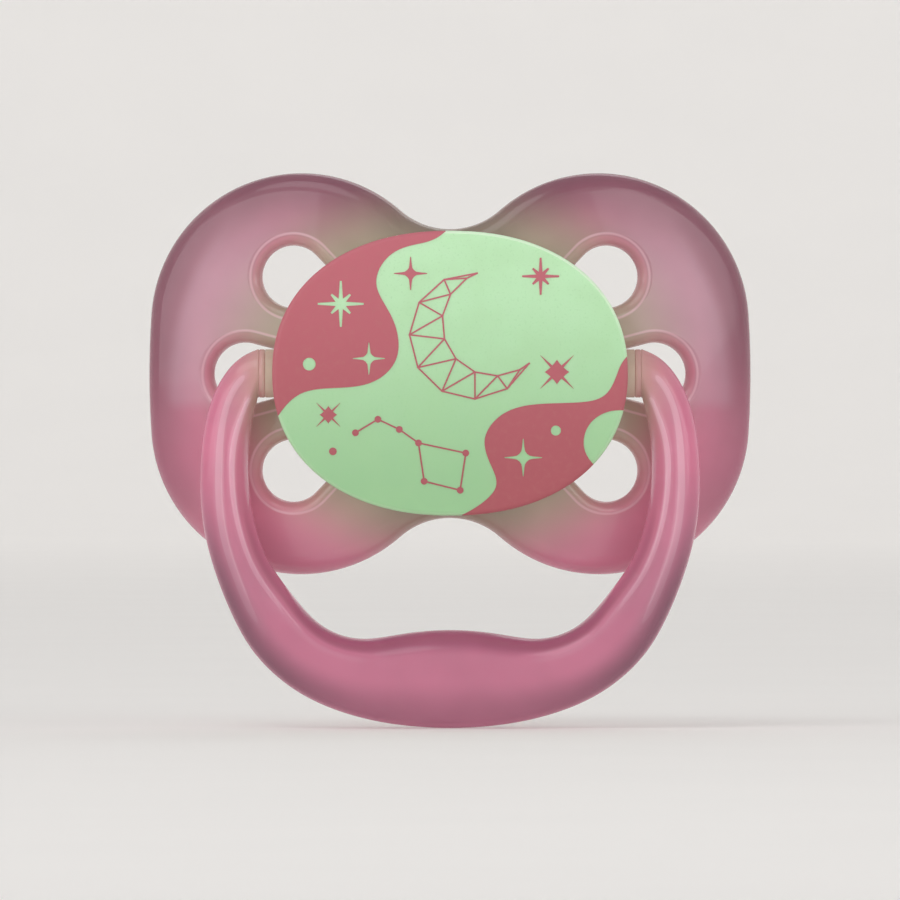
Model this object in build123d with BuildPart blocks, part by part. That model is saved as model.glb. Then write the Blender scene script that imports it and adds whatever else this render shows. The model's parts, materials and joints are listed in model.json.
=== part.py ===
from build123d import *
import os
from math import atan2, copysign, cos, degrees, pi, radians, sin

# A baby's pacifier, in millimetres: a curved butterfly shield with six air holes, a handle that
# swings on two pins, a soft hollow nipple clamped by a plug, and an oval button that covers the
# middle. +Z is up, the button faces -Y and the nipple points along +Y. The origin is the middle
# of the button's flat face, on the nipple's axis.

# Shield outline: four lobe circles joined by notch arcs above and below and bowed sides.
SHIELD_WIDTH = 54.0
HALF_WIDTH = SHIELD_WIDTH / 2
LOBE_R = SHIELD_WIDTH / 4
LOBE_X = 13.35
LOBE_Z = 4.45
NOTCH_Z = 12.9

# Shield shell: a saucer that curves back towards the baby's face, most of all at the sides.
SHELL_FRONT_Y = 3.4
SHELL_THICK = 2.8
BEND_X = 50.0
BEND_Z = 104.0
BEND_SWEEP = 30.0
FRONT_ROUND = 1.9
BACK_ROUND = 0.7
CUT_REACH = 20.0
BAND_ANGLES = (-36, -24, -12, 0, 12, 24, 36)

# Air holes: teardrops whose narrow ends point at the middle.
HOLE_R = 2.78
HOLE_TIP_R = 1.0
HOLE_TAPER = 15.0
SIDE_HOLE_AT = 18.3
CORNER_HOLE_AT = 16.45
CORNER_HOLE_ANGLE = 31.8
HOLE_FRONT_ROUND = 1.0
HOLE_BACK_ROUND = 0.5

# Handle pivot: pins on the handle turn in blind holes in the shield's two bosses.
PIVOT_Y = 4.1
HUB_R = 2.15
BOSS_END_X = 16.45
HUB_X = 16.55
HUB_LENGTH = 0.9
PIN_R = 1.3
PIN_CLEARANCE = 0.06
PIN_LENGTH = 3.1
PIN_CHAMFER = 0.3
PIN_HOLE_DEPTH = 3.25

# Handle.
HANDLE_DEPTH = 4.2
HANDLE_ROUND = 1.6
HANDLE_HALF_WIDTH = 22.25
HANDLE_WIDEST_Z = -8.5
HANDLE_BOTTOM_Z = -31.6
GRIP_TOP_Z = -22.85
ARM_TOP_X = HUB_X + 0.5
ARM_TOP_Z = 2.1
ARM_INSIDE_Z = -2.75

# Middle of the shield: a collar round the nipple's seat, and sockets for the cover's posts.
COLLAR_R = 8.2
COLLAR_FRONT_Y = 1.8
COLLAR_ROOT_Y = 5.1
SEAT_R = 6.6
SEAT_Y = 4.4
BORE_R = 4.7
SOCKET_X = 5.2
SOCKET_Z = 8.6
SOCKET_R = 1.9
POST_R = 1.1
POST_CLEARANCE = 0.03
SOCKET_FLOOR_Y = 5.0

# Button cover: an oval cap whose wall follows the shell, with slots for the two bosses.
COVER_HALF_WIDTH = 15.8
COVER_HALF_HEIGHT = 12.65
COVER_POWER = 2.2
COVER_FRONT_Y = 0.0
COVER_INSIDE_Y = 1.7
COVER_REACH_Y = 7.0
COVER_WALL = 1.2
COVER_ROUND = 0.4
COVER_GAP = 0.1
SLOT_HALF_HEIGHT = 2.3
POST_END_Y = 4.8
CLAMP_OUTER_R = 5.0
CLAMP_INNER_R = 4.0

# Plug: its flange presses the nipple's flange on to the seat and its stem fills the neck.
GAP = 0.03
PLUG_R = 6.5
PLUG_FRONT_Y = 1.95
PLUG_BACK_Y = 3.1
STEM_R = 3.25
STEM_HOLE_R = 2.1
STEM_END_Y = 9.3

# Nipple: flange, round neck, and a bulb that is flatter from top to bottom than across.
NIPPLE_FLANGE_R = 6.5
NIPPLE_WALL = 1.3
NECK_R = 4.6
BULB_START_Y = 9.6
BULB_STATIONS = (
    (BULB_START_Y, NECK_R, NECK_R),
    (13.1, 4.7, 4.45),
    (17.1, 5.6, 4.8),
    (22.1, 7.4, 5.9),
    (26.6, 8.0, 6.4),
    (30.1, 7.5, 5.9),
    (32.7, 5.9, 4.55),
    (34.1, 3.9, 2.95),
    (34.7, 1.9, 1.4),
)
BULB_TIP_ROUND = 0.3
CAVITY_STATIONS = BULB_STATIONS[:-2]


def across(y):
    """The plane across the nipple's axis at this y. It faces the front; its own Y is +Z."""
    return Plane.XZ.offset(-y)


def pivot_plane(x):
    """The plane across the pivot axis at this x, facing +X."""
    return Plane((x, PIVOT_Y, 0), x_dir=(0, 1, 0), z_dir=(1, 0, 0))


def shield_outline():
    """The butterfly face."""
    rise = NOTCH_Z - LOBE_Z
    notch_r = (LOBE_X**2 + rise**2 - LOBE_R**2) / (2 * (LOBE_R - rise))
    notch_centre_z = NOTCH_Z + notch_r
    notch_turn = degrees(atan2(LOBE_X, notch_centre_z - LOBE_Z))
    side_reach = HALF_WIDTH - LOBE_X
    side_r = (side_reach**2 + LOBE_Z**2 - LOBE_R**2) / (2 * (side_reach - LOBE_R))
    side_turn = degrees(atan2(LOBE_Z, LOBE_X - HALF_WIDTH + side_r))
    with BuildSketch() as outline:
        with BuildLine():
            CenterArc((0, notch_centre_z), notch_r, -90, notch_turn)
            CenterArc((LOBE_X, LOBE_Z), LOBE_R, side_turn, 90 + notch_turn - side_turn)
            CenterArc((HALF_WIDTH - side_r, 0), side_r, 0, side_turn)
            mirror(about=Plane.YZ)
            mirror(about=Plane.XZ)
        make_face()
    return outline.sketch


def air_hole():
    """A teardrop face with its round end on the local origin and its narrow end towards -X."""
    lean = sin(radians(HOLE_TAPER))
    rise = cos(radians(HOLE_TAPER))
    tip_x = -(HOLE_R - HOLE_TIP_R) / lean
    wide_x, wide_z = -HOLE_R * lean, HOLE_R * rise
    narrow_x, narrow_z = tip_x - HOLE_TIP_R * lean, HOLE_TIP_R * rise
    with BuildSketch() as hole:
        with BuildLine():
            Line((wide_x, wide_z), (narrow_x, narrow_z))
            ThreePointArc((narrow_x, narrow_z), (tip_x - HOLE_TIP_R, 0), (narrow_x, -narrow_z))
            Line((narrow_x, -narrow_z), (wide_x, -wide_z))
            ThreePointArc((wide_x, -wide_z), (HOLE_R, 0), (wide_x, wide_z))
        make_face()
    return hole.sketch


def cover_outline(inset=0.0):
    """A superellipse, a little fuller than an ellipse, drawn this far inside the cover's edge."""
    steps = 32
    points = []
    for step in range(steps):
        turn = 2 * pi * step / steps
        x = copysign(abs(cos(turn)) ** (2 / COVER_POWER), cos(turn))
        z = copysign(abs(sin(turn)) ** (2 / COVER_POWER), sin(turn))
        points.append(((COVER_HALF_WIDTH - inset) * x, (COVER_HALF_HEIGHT - inset) * z))
    with BuildSketch() as outline:
        with BuildLine():
            Spline(points, periodic=True)
        make_face()
    return outline.sketch


def mirrored(points):
    """These points from the right side down to the middle, then their mirror image."""
    return points + [(-x, z) for x, z in reversed(points[:-1])]


def handle_outline():
    """The U of the handle between its two hubs."""
    outer_side = [
        (ARM_TOP_X, ARM_TOP_Z),
        (19.8, 0.2),
        (21.6, -3.5),
        (HANDLE_HALF_WIDTH, HANDLE_WIDEST_Z),
        (21.6, -15.6),
        (19.2, -22.1),
        (14.5, -27.8),
        (8.0, -30.6),
        (0, HANDLE_BOTTOM_Z),
    ]
    inner_side = [
        (ARM_TOP_X, ARM_INSIDE_Z),
        (17.8, -5.5),
        (17.9, -8.8),
        (17.5, -13.0),
        (15.9, -17.0),
        (13.3, -20.5),
        (10.6, -22.9),
        (7.4, -23.6),
        (3.8, -23.1),
        (0, GRIP_TOP_Z),
    ]
    with BuildSketch() as outline:
        with BuildLine():
            outer = Spline(mirrored(outer_side))
            inner = Spline(mirrored(inner_side))
            Line(outer @ 0, inner @ 0)
            Line(outer @ 1, inner @ 1)
        make_face()
    return outline.sketch


def saucer_band(outside, inside):
    """The slice between two arcs of the shell's bend, this far outside and inside its front."""
    edges = []
    for radius in (BEND_X + outside, BEND_X - inside):
        edges.append(
            [
                (radius * sin(radians(a)), BEND_X - BEND_Z - radius * cos(radians(a)))
                for a in BAND_ANGLES
            ]
        )
    with BuildSketch() as band:
        with BuildLine():
            front = Spline(edges[0])
            back = Spline(edges[1])
            Line(front @ 0, back @ 0)
            Line(front @ 1, back @ 1)
        make_face()
    return band.sketch


# The saucer is turned about a line across the baby's face, far behind the shield.
half_sweep = radians(BEND_SWEEP / 2)
bend_centre = (0, SHELL_FRONT_Y + BEND_Z, 0)
bend_axis = Axis(bend_centre, (1, 0, 0))
bend_plane = Plane(bend_centre, x_dir=(1, 0, 0), z_dir=(0, sin(half_sweep), cos(half_sweep)))

os.makedirs("parts", exist_ok=True)

# The shield.
with BuildPart() as shield:
    with BuildSketch(across(0)):
        add(shield_outline())
        for distance, angle in (
            (SIDE_HOLE_AT, 0),
            (CORNER_HOLE_AT, CORNER_HOLE_ANGLE),
            (CORNER_HOLE_AT, -CORNER_HOLE_ANGLE),
        ):
            with PolarLocations(distance, 2, start_angle=angle):
                add(air_hole(), mode=Mode.SUBTRACT)
    extrude(amount=CUT_REACH, both=True)
    with BuildSketch(bend_plane):
        add(saucer_band(0, SHELL_THICK))
    revolve(axis=bend_axis, revolution_arc=BEND_SWEEP, mode=Mode.INTERSECT)

    # The two big faces are the front and the back: their rims and hole edges are rounded.
    skins = shield.faces().sort_by(SortBy.AREA)[-2:].sort_by(Axis.Y)
    fillet(skins[0].outer_wire().edges(), FRONT_ROUND)
    skins = shield.faces().sort_by(SortBy.AREA)[-2:].sort_by(Axis.Y)
    fillet(skins[1].outer_wire().edges(), BACK_ROUND)
    skins = shield.faces().sort_by(SortBy.AREA)[-2:].sort_by(Axis.Y)
    fillet([edge for wire in skins[0].inner_wires() for edge in wire.edges()], HOLE_FRONT_ROUND)
    skins = shield.faces().sort_by(SortBy.AREA)[-2:].sort_by(Axis.Y)
    fillet([edge for wire in skins[1].inner_wires() for edge in wire.edges()], HOLE_BACK_ROUND)

    # Collar, post sockets and pivot bosses stand on the shell.
    with BuildSketch(across(COLLAR_ROOT_Y)):
        Circle(COLLAR_R)
        with GridLocations(2 * SOCKET_X, 2 * SOCKET_Z, 2, 2):
            Circle(SOCKET_R)
    extrude(amount=COLLAR_ROOT_Y - COLLAR_FRONT_Y)
    with BuildSketch(pivot_plane(-BOSS_END_X)):
        Circle(HUB_R)
    extrude(amount=2 * BOSS_END_X)

    # The nipple's seat and bore, the post holes and the two pin holes.
    with Locations(across(COLLAR_FRONT_Y)):
        CounterBoreHole(BORE_R, SEAT_R, SEAT_Y - COLLAR_FRONT_Y)
        with GridLocations(2 * SOCKET_X, 2 * SOCKET_Z, 2, 2):
            Hole(POST_R + POST_CLEARANCE, depth=SOCKET_FLOOR_Y - COLLAR_FRONT_Y)
    for side in (1, -1):
        with BuildSketch(pivot_plane(side * BOSS_END_X)):
            Circle(PIN_R + PIN_CLEARANCE)
        extrude(amount=-side * PIN_HOLE_DEPTH, mode=Mode.SUBTRACT)
shield.part.label = "shield"

# The handle: a rounded U with a round hub and a pin at each end.
with BuildPart() as ring_handle:
    with BuildSketch(across(PIVOT_Y)):
        add(handle_outline())
    extrude(amount=HANDLE_DEPTH / 2, both=True)
    flats = ring_handle.faces().filter_by(Axis.Y)
    long_edges = [edge for face in flats for edge in face.edges() if edge.length > HANDLE_DEPTH * 2]
    fillet(long_edges, HANDLE_ROUND)
    for side in (1, -1):
        with BuildSketch(pivot_plane(side * HUB_X)):
            Circle(HUB_R)
        extrude(amount=side * HUB_LENGTH)
        with BuildSketch(pivot_plane(side * HUB_X)):
            Circle(PIN_R)
        extrude(amount=-side * PIN_LENGTH)
        flat_ends = ring_handle.faces().filter_by(Axis.X)
        own_ends = flat_ends.filter_by(lambda face: face.center().X * side > 0)
        pin_end = own_ends.sort_by(lambda face: abs(face.center().X))[0]
        chamfer(pin_end.edges(), PIN_CHAMFER)
ring_handle.part.label = "ring_handle"

# The button cover: a cap cut to the shell's bend, with four posts and a ring over the plug.
with BuildPart() as button_cover:
    with BuildSketch(across(COVER_REACH_Y)):
        add(cover_outline())
    extrude(amount=COVER_REACH_Y - COVER_FRONT_Y)
    fillet(button_cover.faces().sort_by(Axis.Y)[0].edges(), COVER_ROUND)
    with BuildSketch(across(COVER_REACH_Y)):
        add(cover_outline(COVER_WALL))
    extrude(amount=COVER_REACH_Y - COVER_INSIDE_Y, mode=Mode.SUBTRACT)
    with BuildSketch(bend_plane):
        add(saucer_band(COVER_GAP, 3 * SHELL_THICK))
    revolve(axis=bend_axis, revolution_arc=BEND_SWEEP, mode=Mode.SUBTRACT)
    with BuildSketch(across(COVER_REACH_Y)):
        Rectangle(2 * (COVER_HALF_WIDTH + COVER_WALL), 2 * SLOT_HALF_HEIGHT)
    extrude(amount=COVER_REACH_Y - COVER_INSIDE_Y, mode=Mode.SUBTRACT)
    with BuildSketch(across(POST_END_Y)):
        with GridLocations(2 * SOCKET_X, 2 * SOCKET_Z, 2, 2):
            Circle(POST_R)
    extrude(amount=POST_END_Y - COVER_INSIDE_Y)
    with BuildSketch(across(PLUG_FRONT_Y - GAP)):
        Circle(CLAMP_OUTER_R)
        Circle(CLAMP_INNER_R, mode=Mode.SUBTRACT)
    extrude(amount=PLUG_FRONT_Y - GAP - COVER_INSIDE_Y)
button_cover.part.label = "button_cover"

# The plug: a flange and a hollow stem, turned about the nipple's axis.
with BuildPart() as nipple_plug:
    with BuildSketch(Plane.XY):
        with BuildLine():
            Polyline(
                (STEM_HOLE_R, PLUG_FRONT_Y),
                (PLUG_R, PLUG_FRONT_Y),
                (PLUG_R, PLUG_BACK_Y),
                (STEM_R, PLUG_BACK_Y),
                (STEM_R, STEM_END_Y),
                (STEM_HOLE_R, STEM_END_Y),
                close=True,
            )
        make_face()
    revolve(axis=Axis.Y)
nipple_plug.part.label = "nipple_plug"

# The nipple: the outside first, then the same shape one wall smaller taken out of it.
with BuildPart() as nipple:
    with BuildSketch(across(SEAT_Y - GAP)):
        Circle(NIPPLE_FLANGE_R)
    extrude(amount=SEAT_Y - PLUG_BACK_Y - 2 * GAP)
    with BuildSketch(across(BULB_START_Y)):
        Circle(NECK_R)
    extrude(amount=BULB_START_Y - SEAT_Y + GAP)
    for y, half_width, half_height in BULB_STATIONS:
        with BuildSketch(across(y)):
            Ellipse(half_width, half_height)
    loft()
    fillet(nipple.faces().sort_by(Axis.Y)[-1].edges(), BULB_TIP_ROUND)
    with BuildSketch(across(BULB_START_Y)):
        Circle(NECK_R - NIPPLE_WALL)
    extrude(amount=BULB_START_Y - PLUG_BACK_Y, mode=Mode.SUBTRACT)
    for y, half_width, half_height in CAVITY_STATIONS:
        with BuildSketch(across(y)):
            Ellipse(half_width - NIPPLE_WALL, half_height - NIPPLE_WALL)
    loft(mode=Mode.SUBTRACT)
nipple.part.label = "nipple"

for piece in (shield, ring_handle, button_cover, nipple_plug, nipple):
    export_step(piece.part, f"parts/{piece.part.label}.step")
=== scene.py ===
import json
import math

import bpy
import numpy as np
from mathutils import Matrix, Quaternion, Vector
from mathutils.bvhtree import BVHTree
from mathutils.geometry import delaunay_2d_cdt


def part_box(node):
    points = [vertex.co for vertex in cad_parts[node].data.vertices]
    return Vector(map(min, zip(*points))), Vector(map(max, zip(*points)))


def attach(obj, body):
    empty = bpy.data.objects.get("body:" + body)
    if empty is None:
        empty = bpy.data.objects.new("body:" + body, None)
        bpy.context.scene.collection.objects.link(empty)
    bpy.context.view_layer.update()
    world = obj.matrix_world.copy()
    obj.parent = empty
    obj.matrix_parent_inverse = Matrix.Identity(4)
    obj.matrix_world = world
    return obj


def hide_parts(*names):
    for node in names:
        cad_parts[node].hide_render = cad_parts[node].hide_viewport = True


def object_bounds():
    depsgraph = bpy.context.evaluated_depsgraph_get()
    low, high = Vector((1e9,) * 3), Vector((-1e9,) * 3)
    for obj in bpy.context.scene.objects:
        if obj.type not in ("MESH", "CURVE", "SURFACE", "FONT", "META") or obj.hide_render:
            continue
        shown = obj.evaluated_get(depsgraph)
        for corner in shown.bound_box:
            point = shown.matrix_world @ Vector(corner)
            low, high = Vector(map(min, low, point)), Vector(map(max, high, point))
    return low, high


# The looks of a baby's pacifier. The frame gives the sizes. Lengths are in millimetres in the
# frame's own axes, +Z up, button facing -Y, nipple along +Y. Only the stage, the lights and the
# camera are placed in metres.

MM = 0.001

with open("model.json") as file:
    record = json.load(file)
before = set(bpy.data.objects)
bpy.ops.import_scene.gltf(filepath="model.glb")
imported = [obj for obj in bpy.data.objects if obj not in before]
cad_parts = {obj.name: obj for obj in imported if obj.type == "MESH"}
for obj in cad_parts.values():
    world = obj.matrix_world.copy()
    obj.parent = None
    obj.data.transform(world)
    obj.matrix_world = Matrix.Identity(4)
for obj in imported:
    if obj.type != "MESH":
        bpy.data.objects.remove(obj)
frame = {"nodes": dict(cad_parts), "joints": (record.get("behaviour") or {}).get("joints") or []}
cad_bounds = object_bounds()


def corners_mm(node):
    """The lowest and highest corner of a CAD node, in millimetres."""
    low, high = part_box(node)
    return low / MM, high / MM


RING_LOW, RING_HIGH = corners_mm("ring_handle")
COVER_LOW, COVER_HIGH = corners_mm("button_cover")
SHIELD_HIGH = corners_mm("shield")[1]
NIPPLE_LOW, NIPPLE_HIGH = corners_mm("nipple")
PIVOT_Y = frame["joints"][0]["pos_m"][1] / MM

# The shield's air holes: where the wide round ends are, their radius, how much the straight sides
# close in towards the middle, in degrees, and the raised lip round each hole.
SIDE_HOLE_AT = 18.3
CORNER_HOLE_AT = 16.45
CORNER_HOLE_ANGLE = 31.8
HOLE_R = 2.78
HOLE_TAPER = 15.0
LIP_WIDTH = 1.0

# The shield's outline: four lobe circles joined by notch arcs. The notch is where the arc crosses
# the middle line.
LOBE_R = SHIELD_HIGH.x / 2
LOBE_X = 13.35
LOBE_Z = 4.45
NOTCH_Z = 12.9

# The depths between which the shield's pivot bosses end and its shell begins.
BOSS_BACK_Y = 4.2
SHELL_FRONT_Y = 4.8

# ---------------------------------------------------------------- mesh helpers


def natural_spline(points, per_span):
    """A curve with even bending through these points, this many steps from each to the next."""
    points = np.array(points, float)
    count = len(points)
    chords = np.linalg.norm(np.diff(points, axis=0), axis=1)
    bend_matrix = np.eye(count)
    right_side = np.zeros_like(points)
    for i in range(1, count - 1):
        before, after = chords[i - 1], chords[i]
        bend_matrix[i, i - 1 : i + 2] = (before, 2 * (before + after), after)
        rise_after = (points[i + 1] - points[i]) / after
        rise_before = (points[i] - points[i - 1]) / before
        right_side[i] = 6 * (rise_after - rise_before)
    bends = np.linalg.solve(bend_matrix, right_side)
    curve = []
    for i in range(count - 1):
        span = chords[i]
        for step in range(per_span):
            a = step / per_span * span
            b = span - a
            curve.append(
                (bends[i] * b**3 + bends[i + 1] * a**3) / (6 * span)
                + (points[i] / span - bends[i] * span / 6) * b
                + (points[i + 1] / span - bends[i + 1] * span / 6) * a
            )
    curve.append(points[-1])
    return np.array(curve)


def closed_b_spline(controls, per_span):
    """A smooth closed curve that stays inside its control points."""
    controls = np.array(controls, float)
    curve = []
    for i in range(len(controls)):
        p0, p1, p2, p3 = (controls[(i + k) % len(controls)] for k in (-1, 0, 1, 2))
        for step in range(per_span):
            t = step / per_span
            curve.append(
                (
                    (1 - t) ** 3 * p0
                    + (3 * t**3 - 6 * t**2 + 4) * p1
                    + (-3 * t**3 + 3 * t**2 + 3 * t + 1) * p2
                    + t**3 * p3
                )
                / 6
            )
    return np.array(curve)


def smooth_step(value):
    """0 below 0, 1 above 1, and an S curve between."""
    value = np.clip(value, 0.0, 1.0)
    return value * value * (3 - 2 * value)


def new_piece(name, points_mm, faces, body, material):
    """A smooth-shaded mesh piece from points in millimetres, riding on a body."""
    mesh = bpy.data.meshes.new(name)
    mesh.from_pydata([tuple(p) for p in np.array(points_mm) * MM], [], faces)
    mesh.validate()
    mesh.update()
    mesh.shade_smooth()
    piece = bpy.data.objects.new(name, mesh)
    bpy.context.scene.collection.objects.link(piece)
    mesh.materials.append(material)
    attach(piece, body)
    return piece


def ring_faces(rings, count, close_start=False, close_end=False):
    """Quads between neighbouring rings of this many points, with fans to end points if asked."""
    faces = []
    for ring in range(rings - 1):
        for i in range(count):
            j = (i + 1) % count
            here, there = ring * count, (ring + 1) * count
            faces.append((here + i, here + j, there + j, there + i))
    last = rings * count
    if close_start:
        faces += [((i + 1) % count, i, last) for i in range(count)]
        last += 1
    if close_end:
        base = (rings - 1) * count
        faces += [(base + i, base + (i + 1) % count, last) for i in range(count)]
    return faces


# ---------------------------------------------------------------- material helpers


def srgb(red, green, blue):
    """A colour given as 0-255 screen values, as Blender's linear colour."""
    linear = []
    for value in (red, green, blue):
        value /= 255
        linear.append(value / 12.92 if value <= 0.04045 else ((value + 0.055) / 1.055) ** 2.4)
    return (*linear, 1.0)


# The pink plastic's colours by place.
SHIELD_UPPER = srgb(165, 105, 123)
SHIELD_LOWER = srgb(202, 122, 147)
# Painted light on the two low lobes, lifting the ring's shade there.
SHIELD_LOW_LOBES_LIT = srgb(206, 130, 152)
# Painted reflection: the shield's paler sides.
SHIELD_SIDE_REFLECTION = srgb(196, 152, 168)
# Painted light: the button's glow spilling onto the shield.
SHIELD_GLOW_SPILL = srgb(168, 152, 134)
# Painted light on the holes' rounded lips.
HOLE_LIP_LIGHT = srgb(224, 132, 158)
# Painted highlight: the light line round each lip.
LIP_HIGHLIGHT = srgb(226, 182, 194)
# Painted light on the pivot bosses, lifting the shade round them.
PIVOT_BOSS_LIT = srgb(212, 180, 166)
RING_ARM = srgb(202, 116, 144)
# Painted light: the button's glow spilling onto the ring.
RING_GLOW_SPILL = srgb(196, 166, 150)
# Painted highlights on the ring's ridges.
RING_RIDGE_HIGHLIGHT = srgb(214, 166, 182)
RING_CREST_HIGHLIGHT = srgb(232, 190, 204)
# Painted shade on the bevel over the grip.
RING_BEVEL_SHADE = srgb(144, 48, 88)
RING_GRIP = srgb(178, 114, 138)
# Painted shade along the outside of the ring's lower half.
RING_OUTSIDE_SHADE = srgb(126, 80, 98)


class Nodes:
    """Builds one material's node tree in a few short calls."""

    def __init__(self, name):
        self.material = bpy.data.materials.new(name)
        self.material.use_nodes = True
        self.tree = self.material.node_tree
        self.shader = self.tree.nodes["Principled BSDF"]
        self.coords = self.tree.nodes.new("ShaderNodeTexCoord").outputs["Object"]

    def put(self, value, socket):
        """Links an output to this input, or sets the input to a plain value."""
        if isinstance(value, bpy.types.NodeSocket):
            self.tree.links.new(value, socket)
        else:
            socket.default_value = value

    def set(self, **inputs):
        """Sets inputs of the main shader: base_color=... sets 'Base Color'."""
        for name, value in inputs.items():
            self.put(value, self.shader.inputs[name.replace("_", " ").title().replace("Ior", "IOR")])

    def math(self, operation, first, second=0.0):
        node = self.tree.nodes.new("ShaderNodeMath")
        node.operation = operation
        self.put(first, node.inputs[0])
        self.put(second, node.inputs[1])
        return node.outputs[0]

    def product(self, first, *others):
        """All of these values multiplied together."""
        for other in others:
            first = self.math("MULTIPLY", first, other)
        return first

    def axes(self, vector):
        """The x, y and z of a vector."""
        node = self.tree.nodes.new("ShaderNodeSeparateXYZ")
        self.put(vector, node.inputs[0])
        return node.outputs

    def place(self):
        """The x, y and z of the point, in millimetres."""
        return [self.math("DIVIDE", value, MM) for value in self.axes(self.coords)]

    def length(self, x, y):
        squares = [self.math("MULTIPLY", value, value) for value in (x, y)]
        return self.math("SQRT", self.math("ADD", *squares))

    def from_middle(self):
        """How far the point is from the middle to the side and up or down, in millimetres."""
        x, _, z = self.place()
        return self.math("ABSOLUTE", x), self.math("ABSOLUTE", z)

    def turn(self, x, y, angle):
        """The point x, y seen in axes turned by this angle."""
        cosine, sine = math.cos(angle), math.sin(angle)
        along = self.math("ADD", self.math("MULTIPLY", x, cosine), self.math("MULTIPLY", y, sine))
        across = self.math("SUBTRACT", self.math("MULTIPLY", y, cosine), self.math("MULTIPLY", x, sine))
        return along, across

    def facing(self):
        """The surface's normal as x, y and z. Its y is -1 at the front and 1 at the back."""
        return self.axes(self.coords.node.outputs["Normal"])

    def ramp(self, value, low, high, out_low=0.0, out_high=1.0):
        """Maps a value from low..high to out_low..out_high with soft ends."""
        node = self.tree.nodes.new("ShaderNodeMapRange")
        node.interpolation_type = "SMOOTHSTEP"
        for socket, number in zip(node.inputs[1:5], (low, high, out_low, out_high)):
            socket.default_value = number
        self.put(value, node.inputs[0])
        return node.outputs[0]

    def mix(self, factor, first, second, blend="MIX"):
        node = self.tree.nodes.new("ShaderNodeMix")
        node.data_type = "RGBA"
        node.blend_type = blend
        self.put(factor, node.inputs[0])
        self.put(first, node.inputs[6])
        self.put(second, node.inputs[7])
        return node.outputs[2]

    def noise(self, size_mm, detail):
        """Noise with features about this many millimetres across."""
        node = self.tree.nodes.new("ShaderNodeTexNoise")
        node.inputs["Scale"].default_value = 1 / (size_mm * MM)
        node.inputs["Detail"].default_value = detail
        self.put(self.coords, node.inputs["Vector"])
        return node.outputs["Fac"]

    def turned_away(self):
        """0 where the surface faces the eye, 1 where it is seen edge-on."""
        node = self.tree.nodes.new("ShaderNodeLayerWeight")
        node.inputs["Blend"].default_value = 0.5
        return node.outputs["Facing"]

    def attribute(self, name):
        node = self.tree.nodes.new("ShaderNodeAttribute")
        node.attribute_name = name
        return node.outputs["Fac"]

    def bump(self, height, strength, distance_mm):
        node = self.tree.nodes.new("ShaderNodeBump")
        node.inputs["Strength"].default_value = strength
        node.inputs["Distance"].default_value = distance_mm * MM
        self.put(height, node.inputs["Height"])
        self.put(node.outputs[0], self.shader.inputs["Normal"])


def glow_spill_reach(nodes, inner, outer):
    """How strongly the painted light of the button's glow tints a point: 1 near the button, 0 well
    outside its oval.
    """
    x, _, z = nodes.place()
    across = nodes.math("DIVIDE", x, COVER_HIGH.x)
    up = nodes.math("DIVIDE", z, COVER_HIGH.z)
    return nodes.ramp(nodes.length(across, up), inner, outer, 1.0, 0.0)


def pink_plastic(nodes, color, roughness, painted_glow, shade=1.0):
    """Finishes a milky pink moulded plastic: glossy, scattering light, with a faint painted glow, a
    soft haze, handling smudges and a fine moulded grain. Painted shade darkens it where shade is below
    1."""
    haze = nodes.product(nodes.ramp(nodes.noise(7.0, 2.0), 0.3, 0.7, 0.94, 1.04), shade)
    haze_color = nodes.tree.nodes.new("ShaderNodeCombineColor")
    for socket in haze_color.inputs:
        nodes.put(haze, socket)
    color = nodes.mix(1.0, color, haze_color.outputs[0], "MULTIPLY")
    nodes.set(
        base_color=color,
        roughness=nodes.ramp(nodes.noise(4.0, 3.0), 0.3, 0.7, roughness, roughness + 0.06),
        specular_ior_level=nodes.ramp(nodes.turned_away(), 0.3, 0.9, 0.35, 0.1),
        coat_weight=0.5,
        coat_roughness=0.07,
        subsurface_weight=0.4,
        subsurface_radius=(1.0, 0.55, 0.65),
        subsurface_scale=1.5 * MM,
        # Painted light: the pink plastic glows faintly though it is no lamp.
        emission_color=color,
        emission_strength=painted_glow,
    )
    nodes.bump(nodes.noise(0.25, 2.0), 0.10, 0.015)
    return nodes.material


def hole_distance(nodes):
    """Distance in millimetres from the nearest air hole's edge, seen from the front. A hole is a
    circle with two straight sides that close in towards the middle of the shield."""
    x, z = nodes.from_middle()
    nearest = 100.0
    for hole_at, angle in ((SIDE_HOLE_AT, 0.0), (CORNER_HOLE_AT, math.radians(CORNER_HOLE_ANGLE))):
        out, aside = nodes.turn(x, z, angle)
        out = nodes.math("SUBTRACT", out, hole_at)
        aside = nodes.math("ABSOLUTE", aside)
        along_side, off_side = nodes.turn(out, aside, math.radians(HOLE_TAPER))
        distance = nodes.length(nodes.math("MAXIMUM", along_side, 0.0), off_side)
        nearest = nodes.math("MINIMUM", nodes.math("SUBTRACT", distance, HOLE_R), nearest)
    return nearest


def edge_distance(nodes):
    """Distance in millimetres inwards from the shield's outline, near the outline."""
    x, z = nodes.from_middle()
    rise = NOTCH_Z - LOBE_Z
    notch_r = (LOBE_X**2 + rise**2 - LOBE_R**2) / (2 * (LOBE_R - rise))
    notch_centre_z = NOTCH_Z + notch_r
    notch_turn = math.atan2(LOBE_X, notch_centre_z - LOBE_Z)
    across = nodes.math("MAXIMUM", nodes.math("SUBTRACT", x, LOBE_X), -LOBE_R * math.sin(notch_turn))
    above = nodes.math("MAXIMUM", nodes.math("SUBTRACT", z, LOBE_Z), 0.0)
    from_lobe = nodes.math("SUBTRACT", LOBE_R, nodes.length(across, above))
    to_notch = nodes.length(x, nodes.math("SUBTRACT", z, notch_centre_z))
    return nodes.math("MINIMUM", from_lobe, nodes.math("SUBTRACT", to_notch, notch_r))


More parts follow.
